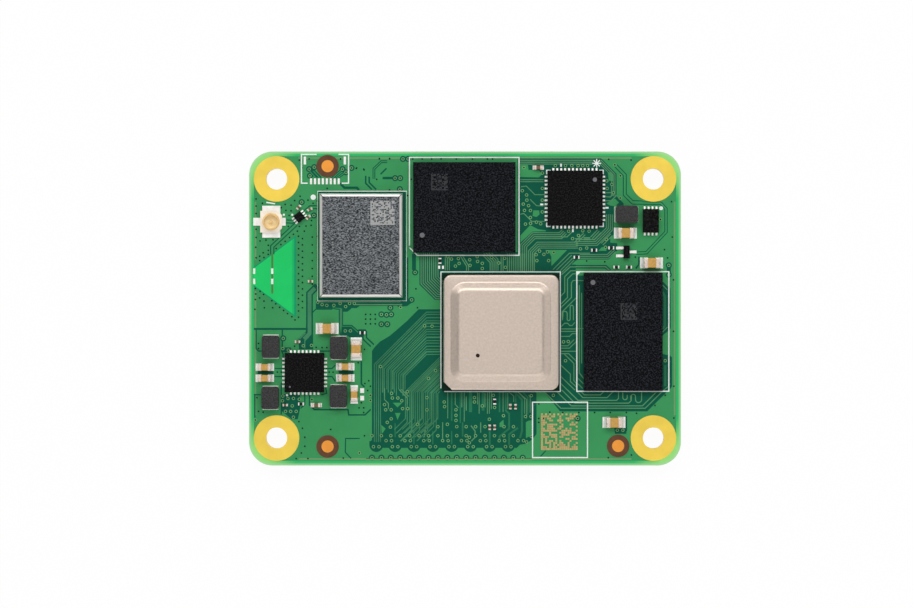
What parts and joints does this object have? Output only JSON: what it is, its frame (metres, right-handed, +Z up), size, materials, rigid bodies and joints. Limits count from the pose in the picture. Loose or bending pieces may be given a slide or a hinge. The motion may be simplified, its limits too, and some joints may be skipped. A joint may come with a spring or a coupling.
{
  "type": "system on module",
  "caption": "Flat green circuit module with a lidded processor, memory, storage and shielded radio on top, plated corner holes, an antenna socket and board-to-board plugs below.",
  "frame": {"origin": "centre of the board, on the plane of the two plugs' mating faces", "axes": "+X along the board's long side, +Y along its short side towards the storage chip, +Z up through the side that carries the processor"},
  "size_m": [0.055, 0.04, 0.0047],
  "materials": {
    "solder_mask": "glossy green solder mask",
    "gold_plating": "satin gold plate",
    "bare_copper": "bare coated copper",
    "solder": "bright solder",
    "dark_laminate": "dark laminate",
    "green_laminate": "green laminate",
    "silicon": "polished silicon",
    "thermal_paste": "grey paste",
    "adhesive": "dark sealant",
    "nickel_lid": "satin nickel plate",
    "black_moulding": "matte black moulding",
    "chip_moulding": "matte black moulding",
    "tin_plate": "tin plate",
    "socket_insulator": "cream moulding",
    "crystal_case": "metal-lidded case",
    "tan_ceramic": "sintered ceramic",
    "brown_ceramic": "sintered ceramic",
    "resistor_glaze": "black glaze",
    "shield_steel": "grained steel sheet",
    "inductor_powder": "pressed metal powder",
    "connector_moulding": "black moulding"
  },
  "bodies": {
    "root": {"circuit_board": "solder_mask", "plated_holes": "gold_plating", "fiducial_dots": "bare_copper", "soc_solder_balls": "solder", "soc_substrate": "dark_laminate", "soc_die": "silicon", "soc_thermal_paste": "thermal_paste", "soc_lid_adhesive": "adhesive", "soc_lid": "nickel_lid", "emmc_solder_balls": "solder", "emmc_package": "black_moulding", "ram_solder_balls": "solder", "ram_package": "black_moulding", "ethernet_chip": "chip_moulding", "ethernet_chip_leads": "tin_plate", "power_chip": "chip_moulding", "power_chip_leads": "tin_plate", "load_switch_chip": "chip_moulding", "load_switch_leads": "tin_plate", "transistor_body": "chip_moulding", "transistor_leads": "tin_plate", "antenna_switch_chip": "chip_moulding", "antenna_switch_leads": "tin_plate", "antenna_socket_base": "socket_insulator", "antenna_socket_shell": "gold_plating", "antenna_socket_pin": "gold_plating", "radio_substrate": "green_laminate", "radio_chip": "chip_moulding", "radio_crystal": "crystal_case", "radio_passives": "tan_ceramic", "radio_shield_can": "shield_steel", "inductor_1_core": "inductor_powder", "inductor_2_core": "inductor_powder", "inductor_3_core": "inductor_powder", "inductor_4_core": "inductor_powder", "inductor_5_core": "inductor_powder", "inductor_terminals": "tin_plate", "large_capacitor_bodies": "tan_ceramic", "large_capacitor_terminals": "tin_plate", "medium_capacitor_bodies": "tan_ceramic", "medium_capacitor_terminals": "tin_plate", "small_capacitor_bodies": "brown_ceramic", "small_capacitor_terminals": "tin_plate", "chip_resistor_bodies": "resistor_glaze", "chip_resistor_terminals": "tin_plate", "front_connector_housing": "connector_moulding", "front_connector_contacts": "gold_plating", "rear_connector_housing": "connector_moulding", "rear_connector_contacts": "gold_plating", "boot_flash_chip": "chip_moulding", "boot_flash_leads": "tin_plate", "system_crystal": "crystal_case", "ethernet_crystal": "crystal_case", "underside_capacitor_bodies": "brown_ceramic", "underside_capacitor_terminals": "tin_plate", "solder_joints": "solder"}
  },
  "joints": []
}
